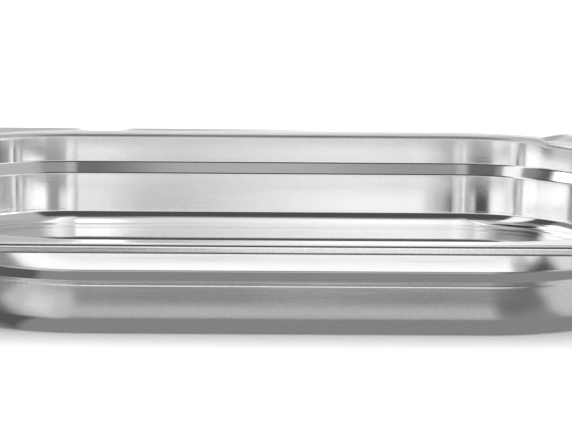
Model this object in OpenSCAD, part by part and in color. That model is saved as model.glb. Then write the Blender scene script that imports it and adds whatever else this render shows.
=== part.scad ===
// Shallow gastronorm food pan, half size, pressed from one stainless steel sheet.
// Frame: origin at the centre of the base, +Z up, +X along the long sides.

/* [Rim] */
// Outside length of the flange, along X
rim_l = 325; // [250:1:530]
// Outside width of the flange, along Y
rim_w = 265; // [200:1:325]
// Flange width from its outer edge to the inside of the upper wall
rim_flange = 10; // [9:0.5:14]
// Radius of the flange's outer corners in plan
rim_corner_r = 18; // [12:1:30]
// Depth of the turned-down lip below the rim's top face
rim_lip_h = 4.2; // [3:0.1:9]
// Outside radius of the bend between flange and lip
rim_lip_r = 1.6; // [1:0.1:3]
// Inside radius of the bend between flange and upper wall
rim_bend_r = 2.6; // [2:0.1:5]

/* [Body] */
// Overall height from the base to the rim's top face
body_h = 40; // [32:1:65]
// Thickness of the sheet
sheet_t = 0.8; // [0.6:0.1:1.2]
// Corner radius of the opening in plan, at the inside of the upper wall
open_corner_r = 73; // [68:1:80]
// Depth below the rim at which the stacking shoulder starts
shoulder_top = 12.9; // [12:0.1:17]
// Height of the slanted stacking shoulder
shoulder_h = 4.4; // [3:0.1:6]
// How far the shoulder steps the wall inward
shoulder_in = 2.8; // [2:0.1:3.5]
// How far each wall leans inward over the lower zone
lower_taper = 1.2; // [0:0.1:3]
// How far each wall leans inward over the upper zone
upper_taper = 0.4; // [0:0.1:1]
// Inside radius of the bend between the shoulder and the walls
shoulder_r = 1.6; // [1.2:0.1:2.4]
// Inside radius of the bend between lower wall and floor
floor_r = 6.7; // [5:0.1:10]
// Width of the ring that the base stands on, inside the floor's bend
foot_w = 7; // [6:0.5:10]
// How far the middle of the base rises above that ring
crown_h = 1.6; // [0.8:0.1:2]
// Width of the slope between the ring and the raised middle
crown_w = 28; // [24:1:32]

/* [Pouring corners] */
// How far the rim steps down across each corner
pour_depth = 1.2; // [0.8:0.1:1.6]
// Width of the lowered floor of each pouring corner
pour_w = 31; // [20:1:36]
// Width of the sloping step at each side of it
pour_step = 3; // [2:0.5:4]
// How far out from the wall each pouring corner runs
pour_run = 16; // [12:1:20]

/* [Hidden] */

// Width of the flange that is drawn together with the lip
lip_arm = 4;
// How far the flange plate overlaps its neighbours, so that no slit is left between facets
seam = 0.5;

// Half lengths between the centres on which the corners of the wall turn
cx = rim_l / 2 - rim_flange - open_corner_r;
cy = rim_w / 2 - rim_flange - open_corner_r;
// The same for the outer edge of the flange
ox = rim_l / 2 - rim_corner_r;
oy = rim_w / 2 - rim_corner_r;

function unit(v) = v / norm(v);
// Left-hand normal of the run from a to b
function side(a, b) = let (u = unit(b - a)) [-u[1], u[0]];
function turn(a, b, c) = let (u = unit(b - a), v = unit(c - b)) u[0] * v[1] - u[1] * v[0];
// Corner b of the run a, b, c moved d to the left of both of its lines
function miter(a, b, c, d) =
    let (m = side(a, b) + side(b, c)) b + m * (2 * d / (m * m));
// Points of the arc of radius r that rounds corner b
function fillet(a, b, c, r, n = 8) =
    let (u = unit(a - b), v = unit(c - b),
         half = acos(max(-1, min(1, u * v))) / 2,
         o = b + unit(u + v) * (r / sin(half)),
         p = b + u * (r / tan(half)), q = b + v * (r / tan(half)),
         a0 = atan2(p[1] - o[1], p[0] - o[0]), a1 = atan2(q[1] - o[1], q[0] - o[0]),
         da = a1 - a0 > 180 ? a1 - a0 - 360 : a1 - a0 < -180 ? a1 - a0 + 360 : a1 - a0)
    [for (i = [0:n]) o + r * [cos(a0 + da * i / n), sin(a0 + da * i / n)]];
// Run of corners P, offset d to the left, each inner corner rounded to its radius in R
function skin(P, R, d) =
    let (k = len(P) - 1,
         Q = [for (i = [0:k])
              i == 0 ? P[0] + side(P[0], P[1]) * d :
              i == k ? P[k] + side(P[k - 1], P[k]) * d :
              miter(P[i - 1], P[i], P[i + 1], d)])
    [Q[0], for (i = [1:k - 1])
        each fillet(Q[i - 1], Q[i], Q[i + 1], R[i] - sign(turn(P[i - 1], P[i], P[i + 1])) * d),
     Q[k]];
function flip(L) = [for (i = [len(L) - 1:-1:0]) L[i]];
// Closed outline of a sheet whose first face follows P and whose second lies t to its left
function sheet(P, R, t) = concat(skin(P, R, 0), flip(skin(P, R, t)));

// Food side of the wall, from the flange down to the floor, measured from a corner's centre
wall_r = open_corner_r - upper_taper - shoulder_in;
foot_r = wall_r - lower_taper - floor_r - foot_w;
// Radius of the soft bends at both ends of the base's slope
crown_bend_r = 80;
wall_run = [
    [open_corner_r + rim_bend_r + seam, body_h],
    [open_corner_r, body_h],
    [open_corner_r - upper_taper, body_h - shoulder_top],
    [wall_r, body_h - shoulder_top - shoulder_h],
    [wall_r - lower_taper, sheet_t],
    [foot_r, sheet_t],
    [foot_r - crown_w, sheet_t + crown_h],
    [0, sheet_t + crown_h]
];
wall_bends = [0, rim_bend_r, shoulder_r, shoulder_r, floor_r, crown_bend_r, crown_bend_r, 0];

// Outside of the lip, from its lower edge up and in to the flange
lip_run = [
    [rim_corner_r, body_h - rim_lip_h],
    [rim_corner_r, body_h],
    [rim_corner_r - lip_arm, body_h]
];
lip_bends = [0, rim_lip_r, 0];

// Sweeps a half section round a rounded rectangle whose corners turn at (+-x, +-y)
module swept(x, y) {
    for (i = [0:3]) {
        sx = (i == 0 || i == 3) ? 1 : -1;
        sy = i < 2 ? 1 : -1;
        translate([sx * x, sy * y, 0]) rotate([0, 0, 90 * i])
            rotate_extrude(angle = 90, $fn = 96) children();
    }
    for (s = [0, 1]) {
        rotate([0, 0, 180 * s]) translate([x, y, 0]) rotate([90, 0, 0])
            linear_extrude(2 * y) children();
        rotate([0, 0, 180 * s]) translate([-x, y, 0]) rotate([90, 0, 90])
            linear_extrude(2 * x) children();
    }
}

module rounded(x, y, r) {
    square([2 * x, 2 * (y + r)], center = true);
    square([2 * (x + r), 2 * y], center = true);
    for (sx = [-1, 1], sy = [-1, 1]) translate([sx * x, sy * y]) circle(r, $fn = 96);
}

// Flat top of the rim, between the wall's bend and the lip's bend
module flange_plate() {
    translate([0, 0, body_h - sheet_t]) linear_extrude(sheet_t) difference() {
        rounded(ox, oy, rim_corner_r - lip_arm + seam);
        rounded(cx, cy, open_corner_r + rim_bend_r);
    }
}

module lip() {
    swept(ox, oy) polygon(sheet(lip_run, lip_bends, sheet_t));
}

module tub() {
    swept(cx, cy) polygon(sheet(wall_run, wall_bends, sheet_t));
    translate([-cx, -cy, crown_h]) cube([2 * cx, 2 * cy, sheet_t]);
}

// Solid above the face of a pouring corner, moved d below that face. The face leaves
// the wall pour_depth under the rim, rises to the rim's top face further out, and
// steps up at both sides.
module pour_block(d) {
    rise = pour_depth + 3;
    out = pour_step * rise / pour_depth;
    w = pour_w / 2 + d * tan(atan(pour_depth / pour_step) / 2);
    translate([cx, cy, 0]) rotate([0, 0, 45])
        translate([open_corner_r, 0, body_h - pour_depth])
            rotate([0, 90 - atan(pour_depth / pour_run), 0]) translate([0, 0, -8])
                linear_extrude(8 + pour_run + 6)
                    polygon([[d, -w], [d, w], [-rise + d, w + out], [-rise + d, -w - out]]);
}

// The four corners of a shape drawn at the +X +Y corner
module each_corner() {
    for (a = [0, 1], b = [0, 1]) mirror([a, 0, 0]) mirror([0, b, 0]) children();
}

// Sheet of a pouring corner, below the rim's top face and outside the wall
module pour_sheet() {
    difference() {
        pour_block(sheet_t);
        pour_block(0);
        translate([0, 0, body_h]) cube([2 * rim_l, 2 * rim_l, 20]);
        translate([cx, cy, 0]) cylinder(h = 2 * body_h, r = open_corner_r, $fn = 96);
    }
}

module pan() {
    color([0.78, 0.78, 0.79]) union() {
        difference() {
            union() {
                tub();
                flange_plate();
                lip();
            }
            each_corner() pour_block(0);
        }
        each_corner() pour_sheet();
    }
}

pan();
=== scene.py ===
# Stainless gastronorm food pan: the sheet's finished surface, its metal, and a plain studio.
import math

import bmesh
import bpy
from mathutils import Matrix, Vector


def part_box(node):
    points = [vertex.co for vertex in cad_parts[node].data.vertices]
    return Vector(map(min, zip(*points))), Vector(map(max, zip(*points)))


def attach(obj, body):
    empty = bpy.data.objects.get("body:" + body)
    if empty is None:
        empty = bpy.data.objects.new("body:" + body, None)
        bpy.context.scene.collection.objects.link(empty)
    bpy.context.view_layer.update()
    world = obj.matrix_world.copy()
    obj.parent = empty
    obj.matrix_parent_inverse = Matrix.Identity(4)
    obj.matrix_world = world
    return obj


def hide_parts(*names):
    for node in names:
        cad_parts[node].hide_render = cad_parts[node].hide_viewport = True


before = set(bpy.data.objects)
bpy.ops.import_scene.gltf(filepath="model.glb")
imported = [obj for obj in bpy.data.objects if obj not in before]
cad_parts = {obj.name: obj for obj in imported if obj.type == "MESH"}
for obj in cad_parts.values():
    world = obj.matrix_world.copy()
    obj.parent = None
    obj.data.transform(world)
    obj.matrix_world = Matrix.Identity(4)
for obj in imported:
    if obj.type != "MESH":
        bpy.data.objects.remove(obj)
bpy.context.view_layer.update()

MM = 0.001
lo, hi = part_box("pan")
HALF_L, HALF_W, H = (hi.x - lo.x) / 2 / MM, (hi.y - lo.y) / 2 / MM, (hi.z - lo.z) / MM

# Sizes in millimetres, as part.scad has them
T = 0.8  # sheet
FLANGE, R_OUT, LIP, R_LIP, R_RIM = 10.0, 18.0, 4.2, 1.6, 2.6
R_OPEN, SH_TOP, SH_H, SH_IN, R_SH = 73.0, 12.9, 4.4, 2.8, 1.6
TAPER_UP, TAPER_LOW, R_FLOOR = 0.4, 1.2, 6.7
POUR_DIP, POUR_HALF, POUR_STEP, POUR_RUN = 1.2, 15.5, 3.0, 16.0

CX, CY = HALF_L - FLANGE - R_OPEN, HALF_W - FLANGE - R_OPEN
OX, OY = HALF_L - R_OUT, HALF_W - R_OUT


# ---- camera -------------------------------------------------------------------------
# Heading, downward tilt and roll in degrees, place in metres, lens and film width in mm
CAM_YAW, CAM_PITCH, CAM_ROLL = 2.357, 10.567, 0.798
CAM_PLACE = (-0.1282, -3.2126, 0.6271)
CAM_LENS, CAM_FILM = 498.7133, 36
CAM_NEAR, CAM_FAR = 0.05, 30


def make_camera():
    cam = bpy.data.objects.new("camera", bpy.data.cameras.new("camera"))
    bpy.context.collection.objects.link(cam)
    yaw, pitch, roll = (math.radians(a) for a in (CAM_YAW, CAM_PITCH, CAM_ROLL))
    fwd = Vector((math.sin(yaw) * math.cos(pitch), math.cos(yaw) * math.cos(pitch), -math.sin(pitch)))
    level = Vector((math.cos(yaw), -math.sin(yaw), 0))
    upright = level.cross(fwd)
    right = level * math.cos(roll) + upright * math.sin(roll)
    up = upright * math.cos(roll) - level * math.sin(roll)
    place = Matrix((right, up, -fwd)).transposed().to_4x4()
    place.translation = Vector(CAM_PLACE)
    cam.matrix_world = place
    cam.data.sensor_width = CAM_FILM
    cam.data.lens = CAM_LENS
    cam.data.clip_start, cam.data.clip_end = CAM_NEAR, CAM_FAR
    bpy.context.scene.camera = cam


make_camera()


# ---- the sheet's shape ----------------------------------------------------------------
def arc(cx, cz, r, a0, a1, n):
    """Points of an arc in the half section, angles in degrees."""
    out = []
    for i in range(n + 1):
        a = math.radians(a0 + (a1 - a0) * i / n)
        out.append((cx + r * math.cos(a), cz + r * math.sin(a)))
    return out


# A point close to each end of a bend keeps the bend's shading off the flats beside it
GUARD, GUARD_PART = 0.4, 0.3


def rounded_run(pts, radii, d, n):
    """Half-section run through pts, moved d to the left, each inner corner rounded."""
    def unit(a, b):
        v = Vector((b[0] - a[0], b[1] - a[1]))
        return v.normalized()

    k = len(pts) - 1
    moved = []
    for i, p in enumerate(pts):
        p = Vector(p)
        if i in (0, k):
            u = unit(pts[0], pts[1]) if i == 0 else unit(pts[k - 1], pts[k])
            moved.append(p + Vector((-u.y, u.x)) * d)
        else:
            u, v = unit(pts[i - 1], pts[i]), unit(pts[i], pts[i + 1])
            m = Vector((-u.y, u.x)) + Vector((-v.y, v.x))
            moved.append(p + m * (2 * d / m.length_squared))
    out = [moved[0]]
    for i in range(1, k):
        u, v = (moved[i - 1] - moved[i]).normalized(), (moved[i + 1] - moved[i]).normalized()
        a, b = unit(pts[i - 1], pts[i]), unit(pts[i], pts[i + 1])
        r = radii[i] - math.copysign(1, a.x * b.y - a.y * b.x) * d
        half = math.acos(max(-1, min(1, u.dot(v)))) / 2
        o = moved[i] + (u + v).normalized() * (r / math.sin(half))
        p, q = moved[i] + u * (r / math.tan(half)), moved[i] + v * (r / math.tan(half))
        a0, a1 = math.atan2(p.y - o.y, p.x - o.x), math.atan2(q.y - o.y, q.x - o.x)
        da = (a1 - a0 + math.pi) % (2 * math.pi) - math.pi
        out.append(p + u * min(GUARD, (moved[i - 1] - p).length * GUARD_PART))
        for j in range(n + 1):
            t = a0 + da * j / n
            out.append(o + r * Vector((math.cos(t), math.sin(t))))
        out.append(q + v * min(GUARD, (moved[i + 1] - q).length * GUARD_PART))
    out.append(moved[k])
    return [(p.x, p.y) for p in out]


WALL_R = R_OPEN - TAPER_UP - SH_IN
FLAT_START = 3.0  # flat floor inside the bend, before the rings of the raised base begin
WALL = [(R_OPEN + R_RIM, H), (R_OPEN, H), (R_OPEN - TAPER_UP, H - SH_TOP),
        (WALL_R, H - SH_TOP - SH_H), (WALL_R - TAPER_LOW, T), (WALL_R - TAPER_LOW - R_FLOOR - FLAT_START, T)]
WALL_BENDS = [0, R_RIM, R_SH, R_SH, R_FLOOR, 0]
BEND_STEPS = 14

# The fine groove that drawing the sheet leaves outside, just under the shoulder
GROOVE_Z, GROOVE_W, GROOVE_D = H - SH_TOP - SH_H - 2.0, 1.2, 0.022
GROOVE_STEPS = 16


def grooved(run):
    """The outside run with the groove cut into its lower wall."""
    i = next(j for j, (r, z) in enumerate(run) if z < GROOVE_Z - GROOVE_W)
    (r0, z0), (r1, z1) = run[i - 1], run[i]
    extra = []
    for j in range(GROOVE_STEPS + 1):
        z = GROOVE_Z + GROOVE_W * (0.5 - j / GROOVE_STEPS)
        r = r0 + (r1 - r0) * (z - z0) / (z1 - z0)
        extra.append((r - GROOVE_D * (1 - math.cos(2 * math.pi * j / GROOVE_STEPS)) / 2, z))
    return run[:i] + extra + run[i:]


food_side = rounded_run(WALL, WALL_BENDS, 0, BEND_STEPS)
outside = grooved(rounded_run(WALL, WALL_BENDS, T, BEND_STEPS))

# Steps round each corner, along each long side and along each short side
N_CORNER, N_LONG, N_SHORT = 120, 36, 26


def stations():
    """Round the pan: (spine point, direction out of it, point on the rim's edge, edge's normal).
    The spine is the rectangle on whose corners the walls turn."""
    out = []

    def edge(sx, sy, s, n):
        # from the spine along n to the rounded rectangle of the rim's edge
        if abs(n.x) < 1e-9:
            return Vector((s.x, sy * HALF_W)), Vector((0, sy))
        if abs(n.y) < 1e-9:
            return Vector((sx * HALF_L, s.y)), Vector((sx, 0))
        p = s + n * ((HALF_L - abs(s.x)) / abs(n.x))
        if abs(p.y) <= OY:
            return p, Vector((sx, 0))
        p = s + n * ((HALF_W - abs(s.y)) / abs(n.y))
        if abs(p.x) <= OX:
            return p, Vector((0, sy))
        c = Vector((sx * OX, sy * OY))
        b, q = n.dot(s - c), (s - c).length_squared - R_OUT ** 2
        p = s + n * (-b + math.sqrt(b * b - q))
        return p, (p - c).normalized()

    for k, (sx, sy) in enumerate(((1, 1), (-1, 1), (-1, -1), (1, -1))):
        c = Vector((sx * CX, sy * CY))
        for i in range(N_CORNER + 1):
            a = math.radians(90 * k + 90 * i / N_CORNER)
            n = Vector((round(math.cos(a), 12), round(math.sin(a), 12)))
            out.append((c, n, *edge(sx, sy, c, n)))
        m = N_LONG if k % 2 == 0 else N_SHORT
        nx, ny = ((-1, 1), (-1, -1), (1, -1), (1, 1))[k]
        d = Vector((nx * CX, ny * CY))
        for i in range(1, m):
            s = c.lerp(d, i / m)
            out.append((s, n, *edge(sx, sy, s, n)))
    return out


def smooth(a, b, x):
    t = max(0.0, min(1.0, (x - a) / (b - a)))
    return t * t * (3 - 2 * t)


# The dip fades in over these distances inside the opening and below the rim, from and to
POUR_IN, POUR_DOWN = (8, 2), (9, 1)


def pour(p):
    """Lowers the rim across each corner: a broad shallow pouring face with a soft step at each side."""
    c = Vector((math.copysign(CX, p.x), math.copysign(CY, p.y), 0))
    d = Vector((p.x - c.x, p.y - c.y))
    if d.x * c.x <= 0 or d.y * c.y <= 0:
        return p
    rho = d.length
    across = abs(rho * math.sin(math.atan2(abs(d.y), abs(d.x)) - math.pi / 4))
    face = 1 - smooth(POUR_HALF, POUR_HALF + POUR_STEP, across)
    fade = 1 - smooth(R_OPEN, R_OPEN + POUR_RUN, rho)
    wall = smooth(R_OPEN - POUR_IN[0], R_OPEN - POUR_IN[1], rho)
    dip = POUR_DIP * face * fade * wall * smooth(H - POUR_DOWN[0], H - POUR_DOWN[1], p.z)
    return Vector((p.x, p.y, p.z - dip))


# The finishes of the sheet's zones
UM = 0.000001
ZONES = {
    # zone: base, roughness, grain depth, brushing depth, mottling
    "wall": (0.92, 0.09, 0.6 * UM, 0.5 * UM, 0.01),
    "rim_bend": (0.92, 0.34, 0.8 * UM, 0.8 * UM, 0.01),
    "floor": (0.96, 0.16, 1.5 * UM, 1.0 * UM, 0.01),
    "floor_mid": (0.95, 0.08, 1.0 * UM, 0.8 * UM, 0.01),
    "flange": (0.92, 0.12, 0.8 * UM, 0.8 * UM, 0.01),
    "lip": (0.90, 0.17, 5.0 * UM, 3.0 * UM, 0.05),
    # The cut edge's dark base is partly its duller sheared finish and partly painted shade under the lip
    "edge": (0.26, 0.40, 5.0 * UM, 3.0 * UM, 0.04),
    "outer_upper": (0.95, 0.10, 0.6 * UM, 0.5 * UM, 0.01),
    "outer_lower": (0.91, 0.15, 7.0 * UM, 1.0 * UM, 0.07),
    "base": (0.91, 0.15, 3.0 * UM, 1.0 * UM, 0.03),
}
ZONE_INDEX = {zone: i for i, zone in enumerate(ZONES)}

# The pan stands on a narrow flat ring. Past FOOT the base rises by CROWN to its middle,
# which begins at FLOOR_BAND; both are measured inwards from the end of the wall's run.
# This curve lies up to about 0.25 mm below the straight slope that part.scad has there.
CROWN, FOOT, FLOOR_BAND, CROWN_STEPS = 1.6, 4.0, 38.0, 14
# Places of the flange's rings between the lip's bend and the wall's
WEB = (0.05, 0.2, 0.4, 0.6, 0.8, 0.95)
LIP_EDGE = H - LIP
# Where the underside's own coordinates start, clear of the food side's, in metres
UNDER_START = 0.2


def edge_ring(st, off, z, zone):
    """A ring that runs off inside the rim's edge."""
    return [Vector((e.x - en.x * off, e.y - en.y * off, z)) for s, d, e, en in st], zone


def wall_ring(st, r, z, zone):
    """A ring that runs r out from the spine."""
    return [Vector((s.x + d.x * r, s.y + d.y * r, z)) for s, d, e, en in st], zone


def web_ring(st, t, z, zone):
    """A ring of the flange, t of the way from the lip's bend to the wall's."""
    r = R_OPEN + R_RIM
    return [Vector(((e.x - en.x * R_LIP) * (1 - t) + (s.x + d.x * r) * t,
                    (e.y - en.y * R_LIP) * (1 - t) + (s.y + d.y * r) * t, z))
            for s, d, e, en in st], zone


# The upper outside zone ends this far below the shoulder, and the wall's zone this far
# above the floor
PAST_SHOULDER, ABOVE_FLOOR = 0.3, 0.4


def food_zone(z):
    return "rim_bend" if z > H - R_RIM else "wall" if z > T + ABOVE_FLOOR else "floor"


def outer_zone(z):
    if z > H - SH_TOP - SH_H - PAST_SHOULDER:
        return "outer_upper"
    return "outer_lower" if z > R_FLOOR + T else "base"


def crown():
    """Rings of the raised base, as (distance inwards, height above the ring it stands on)."""
    return [(FOOT + (FLOOR_BAND - FOOT) * i / CROWN_STEPS,
             CROWN * (1 - math.cos(math.pi * i / CROWN_STEPS)) / 2) for i in range(CROWN_STEPS + 1)]


def food_rings(st):
    """From the lip's cut edge up its outside, over the flange and down to the floor."""
    run = [edge_ring(st, x, z, "edge") for x, z in arc(T / 2, LIP_EDGE + T / 2, T / 2, 270, 180, 5)]
    run.append(edge_ring(st, 0, LIP_EDGE + T, "edge"))
    run += [edge_ring(st, 0, z, "lip")
            for z in (LIP_EDGE + T + 0.05, LIP_EDGE + 1.2, H - R_LIP - GUARD, H - R_LIP)]
    run += [edge_ring(st, x, z, "lip") for x, z in arc(R_LIP, H - R_LIP, R_LIP, 180, 90, 8)[1:]]
    run += [web_ring(st, t, H, "flange") for t in WEB]
    run += [wall_ring(st, r, z, food_zone(z)) for r, z in food_side[1:]]
    run += [wall_ring(st, food_side[-1][0] - inward, T + rise, "floor") for inward, rise in crown()]
    return run


def under_rings(st):
    """From the lip's cut edge up its inside, under the flange and down the outside."""
    run = [edge_ring(st, x, z, "edge") for x, z in arc(T / 2, LIP_EDGE + T / 2, T / 2, 270, 360, 5)[1:]]
    run.append(edge_ring(st, T, H - R_LIP, "outer_upper"))
    run += [edge_ring(st, x, z, "outer_upper")
            for x, z in arc(R_LIP, H - R_LIP, R_LIP - T, 180, 90, 5)[1:]]
    run += [web_ring(st, t, H - T, "outer_upper") for t in WEB]
    run += [wall_ring(st, r, z, outer_zone(z)) for r, z in outside[1:]]
    run += [wall_ring(st, outside[-1][0] - inward, rise, "base") for inward, rise in crown()]
    return run


def add_face(bm, uv, verts, coords, zone):
    face = bm.faces.new(verts)
    face.smooth = True
    face.material_index = ZONE_INDEX[zone]
    for loop, c in zip(face.loops, coords):
        loop[uv].uv = c


def flat_coords(verts):
    return [(v.co.x, v.co.y) for v in verts]


def add_strips(bm, uv, vs, run, along, flipped, start):
    """Faces between the rings of a run. Returns the sheet's own coordinate at each ring."""
    n = len(vs[0])
    across = [start]
    for j in range(len(vs) - 1):
        step = sum((vs[j][i].co - vs[j + 1][i].co).length for i in (0, n // 3, n // 2)) / 3
        low, high = across[-1], across[-1] + step
        for i in range(n):
            k = (i + 1) % n
            quad = [vs[j][i], vs[j][k], vs[j + 1][k], vs[j + 1][i]]
            coords = [(along[i], low), (along[i + 1], low), (along[i + 1], high), (along[i], high)]
            if flipped:
                quad.reverse()
                coords.reverse()
            add_face(bm, uv, quad, coords, run[j + 1][1])
        across.append(high)
    return across


def build():
    """The sheet as one mesh, and its own coordinate where the floor begins."""
    st = stations()
    n = len(st)
    food, under = food_rings(st), under_rings(st)
    bm = bmesh.new()
    uv = bm.loops.layers.uv.new("sheet")
    a, b = ([[bm.verts.new(pour(p) * MM) for p in pts] for pts, _ in run] for run in (food, under))

    # running lengths round the pan for the sheet's own coordinates, in metres
    along = [0.0]
    for i in range(n):
        p, q = st[i], st[(i + 1) % n]
        along.append(along[-1] + ((p[0] + p[1] * R_OPEN) - (q[0] + q[1] * R_OPEN)).length * MM)

    across = add_strips(bm, uv, a, food, along, False, 0.0)
    add_strips(bm, uv, b, under, along, True, UNDER_START)
    for i in range(n):  # close the lip's cut edge
        k = (i + 1) % n
        quad = [b[0][i], b[0][k], a[0][k], a[0][i]]
        add_face(bm, uv, quad, flat_coords(quad), "edge")
    middle, under_middle = a[-1], b[-1][::-1]
    add_face(bm, uv, middle, flat_coords(middle), "floor_mid")
    add_face(bm, uv, under_middle, flat_coords(under_middle), "base")

    me = bpy.data.meshes.new("pan_sheet")
    bm.normal_update()
    bm.to_mesh(me)
    bm.free()
    obj = bpy.data.objects.new("pan_sheet", me)
    bpy.context.collection.objects.link(obj)
    first_floor = [zone for _, zone in food].index("floor")
    return obj, across[first_floor - 1]


pan, floor_start = build()


# ---- metal ------------------------------------------------------------------------------
class Nodes:
    """Short hand for building a node tree."""

    def __init__(self, tree):
        self.tree = tree

    def add(self, kind, links=None, **settings):
        node = self.tree.nodes.new(kind)
        for key, value in settings.items():
            setattr(node, key, value)
        for key, value in (links or {}).items():
            if isinstance(value, bpy.types.NodeSocket):
                self.tree.links.new(value, node.inputs[key])
            else:
                node.inputs[key].default_value = value
        return node

    def scaled(self, source, scale):
        return self.add("ShaderNodeMapping", {"Vector": source, "Scale": scale}).outputs[0]

    def noise(self, source, scale, detail=2.0, rough=0.5):
        return self.add("ShaderNodeTexNoise", {
            "Vector": source, "Scale": scale, "Detail": detail, "Roughness": rough}).outputs[0]

    def spread(self, value, low, high, lo_out, hi_out):
        return self.add("ShaderNodeMapRange", {
            0: value, 1: low, 2: high, 3: lo_out, 4: hi_out}).outputs[0]

    def math(self, op, a, b):
        return self.add("ShaderNodeMath", {0: a, 1: b}, operation=op).outputs[0]


# Noise scales, per metre: the brushing's along and across it, the grain's and the clouds'
BRUSHING = (25.0, 2600.0, 1)
GRAIN, CLOUDS = 900.0, 14.0
# Scratches from stacking and washing: their stretch, how often they occur, width and depth
SCRATCH, SCRATCH_RARE, SCRATCH_WIDTH, SCRATCH_DEPTH = (30, 120, 120), 22.0, 0.004, 0.3 * UM


def steel(name, base, rough, grain, brush, mottle, fade=None):
    """Stainless steel: base reflectance, mean roughness, depth in metres of its fine
    orange-peel grain and of its brushing, how much the grain mottles it, and between
    which sheet coordinates it fades to which roughness."""
    mat = bpy.data.materials.new(name)
    mat.use_nodes = True
    k = Nodes(mat.node_tree)
    bsdf = mat.node_tree.nodes["Principled BSDF"]
    bsdf.inputs["Metallic"].default_value = 1.0
    uv = k.add("ShaderNodeUVMap", uv_map="sheet").outputs[0]
    place = k.add("ShaderNodeTexCoord").outputs["Object"]

    lines = k.noise(k.scaled(uv, BRUSHING), 1.0, 4.0, 0.6)
    peel = k.noise(place, GRAIN, 3.0, 0.6)
    cloud = k.noise(place, CLOUDS, 3.0, 0.5)
    # hairline scratches are thin level lines of a stretched noise
    warp = k.noise(k.scaled(place, SCRATCH), 1.0, 3.0, 0.6)
    hair = k.math("ABSOLUTE", k.math("SUBTRACT", warp, 0.5), 0.0)
    rare = k.spread(k.noise(place, SCRATCH_RARE, 2.0), 0.52, 0.62, 0.0, 1.0)
    hair = k.math("MULTIPLY", k.spread(hair, 0.0, SCRATCH_WIDTH, 1.0, 0.0), rare)

    # colour: faint clouding of the finish, darker in the grain's hollows
    tone = k.math("ADD", k.spread(cloud, 0.3, 0.7, base * 0.97, base * 1.0),
                  k.spread(peel, 0.3, 0.7, -mottle, mottle))
    tone = k.math("ADD", tone, k.spread(lines, 0.3, 0.7, -0.02, 0.02))
    colour = k.add("ShaderNodeCombineColor", {0: tone, 1: tone, 2: tone})
    k.tree.links.new(colour.outputs[0], bsdf.inputs["Base Color"])

    # roughness: streaks, clouding, and the scratches duller than the polish round them
    r = k.math("ADD", k.spread(lines, 0.3, 0.7, rough * 0.8, rough * 1.2),
               k.spread(cloud, 0.35, 0.65, -0.02, 0.02))
    r = k.math("ADD", r, k.math("MULTIPLY", hair, 0.06))
    if fade:
        v = k.add("ShaderNodeSeparateXYZ", {0: uv}).outputs[1]
        r = k.math("MULTIPLY", r, k.spread(v, fade[0], fade[1], 1.0, fade[2] / rough))
    k.tree.links.new(r, bsdf.inputs["Roughness"])

    height = k.math("ADD", k.math("MULTIPLY", peel, grain), k.math("MULTIPLY", lines, brush))
    height = k.math("SUBTRACT", height, k.math("MULTIPLY", hair, SCRATCH_DEPTH))
    bump = k.add("ShaderNodeBump", {"Height": height, "Distance": 1.0, "Strength": 1.0})
    k.tree.links.new(bump.outputs[0], bsdf.inputs["Normal"])
    return mat


# The floor's satin band beside the bend fades to its middle's polish, from and to this part
# of the raised base's width
BAND = (0.4, 1.0)
floor_fade = (*(floor_start + part * FLOOR_BAND * MM for part in BAND), ZONES["floor_mid"][1])
for zone, look in ZONES.items():
    pan.data.materials.append(steel("steel_" + zone, *look, fade=floor_fade if zone == "floor" else None))
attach(pan, "root")
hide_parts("pan")


# ---- studio -----------------------------------------------------------------------------
def stage_mesh(name, bm, mat):
    me = bpy.data.meshes.new(name)
    bm.to_mesh(me)
    bm.free()
    me.materials.append(mat)
    obj = bpy.data.objects.new(name, me)
    bpy.context.collection.objects.link(obj)
    return obj


# Half size of the white floor in metres, and the strength of the white world
FLOOR_HALF, WORLD_LIGHT = 6, 1.6


def make_floor():
    bm = bmesh.new()
    bmesh.ops.create_grid(bm, x_segments=1, y_segments=1, size=FLOOR_HALF)
    mat = bpy.data.materials.new("floor_white")
    mat.use_nodes = True
    b = mat.node_tree.nodes["Principled BSDF"]
    b.inputs["Base Color"].default_value = (0.9, 0.9, 0.9, 1)
    b.inputs["Roughness"].default_value = 0.9
    b.inputs["Specular IOR Level"].default_value = 0.1
    stage_mesh("floor", bm, mat)


def glow_card(name, bm, light):
    """A card that only reflections see; light(co) gives its brightness at a vertex."""
    mat = bpy.data.materials.new(name)
    mat.use_nodes = True
    k = Nodes(mat.node_tree)
    glow = k.add("ShaderNodeAttribute", attribute_name="glow")
    emit = k.add("ShaderNodeEmission", {"Color": glow.outputs["Color"], "Strength": 1.0})
    k.tree.links.new(emit.outputs[0], mat.node_tree.nodes["Material Output"].inputs[0])
    obj = stage_mesh(name, bm, mat)
    layer = obj.data.color_attributes.new("glow", "FLOAT_COLOR", "POINT")
    for v, c in zip(obj.data.vertices, layer.data):
        g = light(v.co)
        c.color = (g, g, g, 1)
    obj.visible_camera = obj.visible_diffuse = obj.visible_shadow = False
    return obj


def soft(value, low, high, edge):
    """1 between low and high, fading to 0 over edge at both sides."""
    return smooth(low - edge, low, value) * (1 - smooth(high, high + edge, value))


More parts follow.
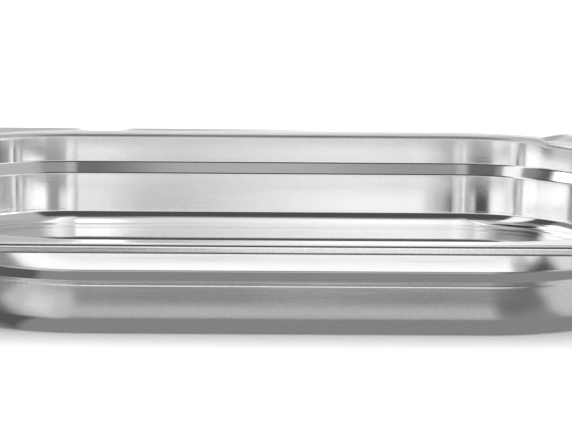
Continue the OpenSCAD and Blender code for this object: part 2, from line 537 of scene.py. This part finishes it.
# Reflected surroundings, as (azimuth range, its edge, elevation range, its edge, brightness),
# in degrees seen from the middle of the pan. Azimuth 0 is the front, -Y, and + is towards +X.
DOME_R, DOME_FOOT = 1.2, -0.05  # metres
SKY = 1.06
SKY_SHAPES = (
    ((-140, -85), 8, (-5, 26), 9, 0.72),  # dimmer room at the left
    ((-150, -140), 3, (-5, 18), 6, 1.25),  # pale gap beside the black flag
    ((70, 150), 8, (-5, 16), 5, 1.50),  # soft light at the right
    ((48, 66), 5, (6, 17), 4, 1.40),
    ((155, 163), 3, (3, 24), 6, 0.36),  # grey flag, back right
    ((-166, -155), 2, (2, 18), 5, 0.04),  # black flag, back left
    ((-168, -152), 3, (24, 48), 5, 0.30),
    ((-156, -76), 4, (64, 79), 3, 0.03),  # its boom
    ((-118, -92), 6, (44, 59), 4, 1.80),
    ((-85, 26), 9, (15, 53), 5, 0.08),  # dark room behind the camera
    ((-122, -85), 6, (16, 36), 5, 0.25),
    ((-100, -34), 12, (54, 66), 5, 0.28),
    ((-100, -34), 12, (70, 80), 5, 0.58),
    ((-3, 12), 3, (57, 63), 4, 0.46),  # its soft upper edge
    ((12, 40), 6, (57, 63), 4, 0.32),
    ((-31, -4.5), 4, (55, 64), 4, 0.14),
    ((-58, -43), 4, (18, 64), 4, 1.05),
    ((38, 75), 8, (20, 56), 6, 0.50),
    ((100, 118), 6, (60, 69), 4, 0.40),
)
# The overhead and back light falls off from right to left over this stretch, in metres,
# between these (left, right) brightnesses low down and high up
FALLOFF = (-0.030, 0.120)
LOW_BACK, HIGH_BACK = (0.52, 1.24), (0.74, 1.12)
RIGHT_DIM = 0.46  # from about the pan's right end outwards
# A narrow bright gap runs over the pan from the back, as (x from, x to, brightness), from
# and to these angles above the back's horizon
STRIP = (-0.062, -0.041, 1.8)
STRIP_ARCH, STRIP_STEPS, STRIP_GAP = (6, 98), 46, 0.02


def sky_light(co):
    az = math.degrees(math.atan2(co.x, -co.y))
    el = math.degrees(math.asin(max(-1, min(1, co.z / co.length))))
    g = SKY
    # over: how much the back and overhead light counts here; high: how much of it is the upper one
    over = max(smooth(112, 150, abs(az)), smooth(58, 72, el)) * (1 - smooth(0.14, 0.30, abs(co.x)))
    high = smooth(16, 36, el)
    left, right = (a + (b - a) * high for a, b in zip(LOW_BACK, HIGH_BACK))
    g += (left + (right - left) * smooth(*FALLOFF, co.x) - g) * over
    g += (RIGHT_DIM - g) * smooth(0.145, 0.185, co.x) * smooth(10, 20, el) * (1 - smooth(78, 86, el))
    for (a0, a1), a_edge, (e0, e1), e_edge, value in SKY_SHAPES:
        g += (value - g) * soft(az, a0, a1, a_edge) * soft(el, e0, e1, e_edge)
    return g


# Reflected table near the pan: a glowing card with the pan's shade and the light thrown back painted into
# its brightness, in millimetres, as (x range, its edge, y range, its edge, brightness)
TABLE = 1.10
TABLE_HALF, TABLE_LIFT, TABLE_STEPS = 0.6, 0.00002, 240  # metres
TABLE_HOLE = (0.10, 0.07)  # half sizes of the part left out under the pan
TABLE_SHAPES = (
    ((-230, 230), 25, (-198, 198), 8, 0.25),  # painted shade of the pan
    ((-115, 85), 14, (-156, -146), 8, 0.50),  # painted light thrown back by the lower wall
    ((-152, -98), 10, (-174, -138), 9, 0.56),  # the same at the front left corner
    ((-128, -112), 8, (-158, -144), 6, 0.72),
    ((138, 212), 8, (-166, -124), 9, 0.56),  # and at the right
    ((196, 230), 8, (-250, -170), 8, 0.72),
    ((98, 134), 13, (-194, -152), 12, 0.16),  # painted dark patches, front right
    ((134, 150), 14, (-238, -206), 6, 0.42),
    ((152, 188), 9, (-223, -184), 4, 0.04),
    ((-152, -110), 6, (-126, -108), 5, 0.10),  # and painted shade close under the left corner
    # a thin painted shade line, seen in the wall just under the lip
    ((-400, 400), 40, (-250, -246), 2.5, 0.55),
    ((-400, 400), 40, (-480, -290), 12, 0.10),  # painted darkness that the brushed lip sees
    ((20, 62), 120, (-480, -290), 12, 0.80),
)


def table_light(co):
    x, y = co.x / MM, co.y / MM
    g = TABLE
    for (x0, x1), x_edge, (y0, y1), y_edge, value in TABLE_SHAPES:
        g += (value - g) * soft(x, x0, x1, x_edge) * soft(y, y0, y1, y_edge)
    return g


def make_dome():
    bm = bmesh.new()
    bmesh.ops.create_uvsphere(bm, u_segments=360, v_segments=180, radius=DOME_R)
    below = [v for v in bm.verts if v.co.z < DOME_FOOT]
    bmesh.ops.delete(bm, geom=below, context="VERTS")
    glow_card("dome_card", bm, sky_light)


def make_strip():
    start, end = STRIP_ARCH
    arch = [math.radians(start + (end - start) * i / STRIP_STEPS) for i in range(STRIP_STEPS + 1)]
    r = DOME_R - STRIP_GAP
    bm = bmesh.new()
    rows = [[bm.verts.new((x, r * math.cos(t), r * math.sin(t))) for x in STRIP[:2]] for t in arch]
    for p, q in zip(rows, rows[1:]):
        bm.faces.new((p[0], p[1], q[1], q[0]))
    glow_card("strip_card", bm, lambda co: STRIP[2])


def make_table():
    bm = bmesh.new()
    bmesh.ops.create_grid(bm, x_segments=TABLE_STEPS, y_segments=TABLE_STEPS, size=TABLE_HALF,
                          matrix=Matrix.Translation((0, 0, TABLE_LIFT)))
    centres = [(f, f.calc_center_median()) for f in bm.faces]
    inside = [f for f, c in centres if abs(c.x) < TABLE_HOLE[0] and abs(c.y) < TABLE_HOLE[1]]
    bmesh.ops.delete(bm, geom=inside, context="FACES")
    glow_card("table_card", bm, table_light)


def make_world():
    world = bpy.data.worlds.new("studio")
    bpy.context.scene.world = world
    world.use_nodes = True
    background = world.node_tree.nodes["Background"]
    background.inputs["Color"].default_value = (1, 1, 1, 1)
    background.inputs["Strength"].default_value = WORLD_LIGHT


make_floor()
make_dome()
make_strip()
make_table()
make_world()
bpy.context.scene.view_settings.view_transform = "Standard"
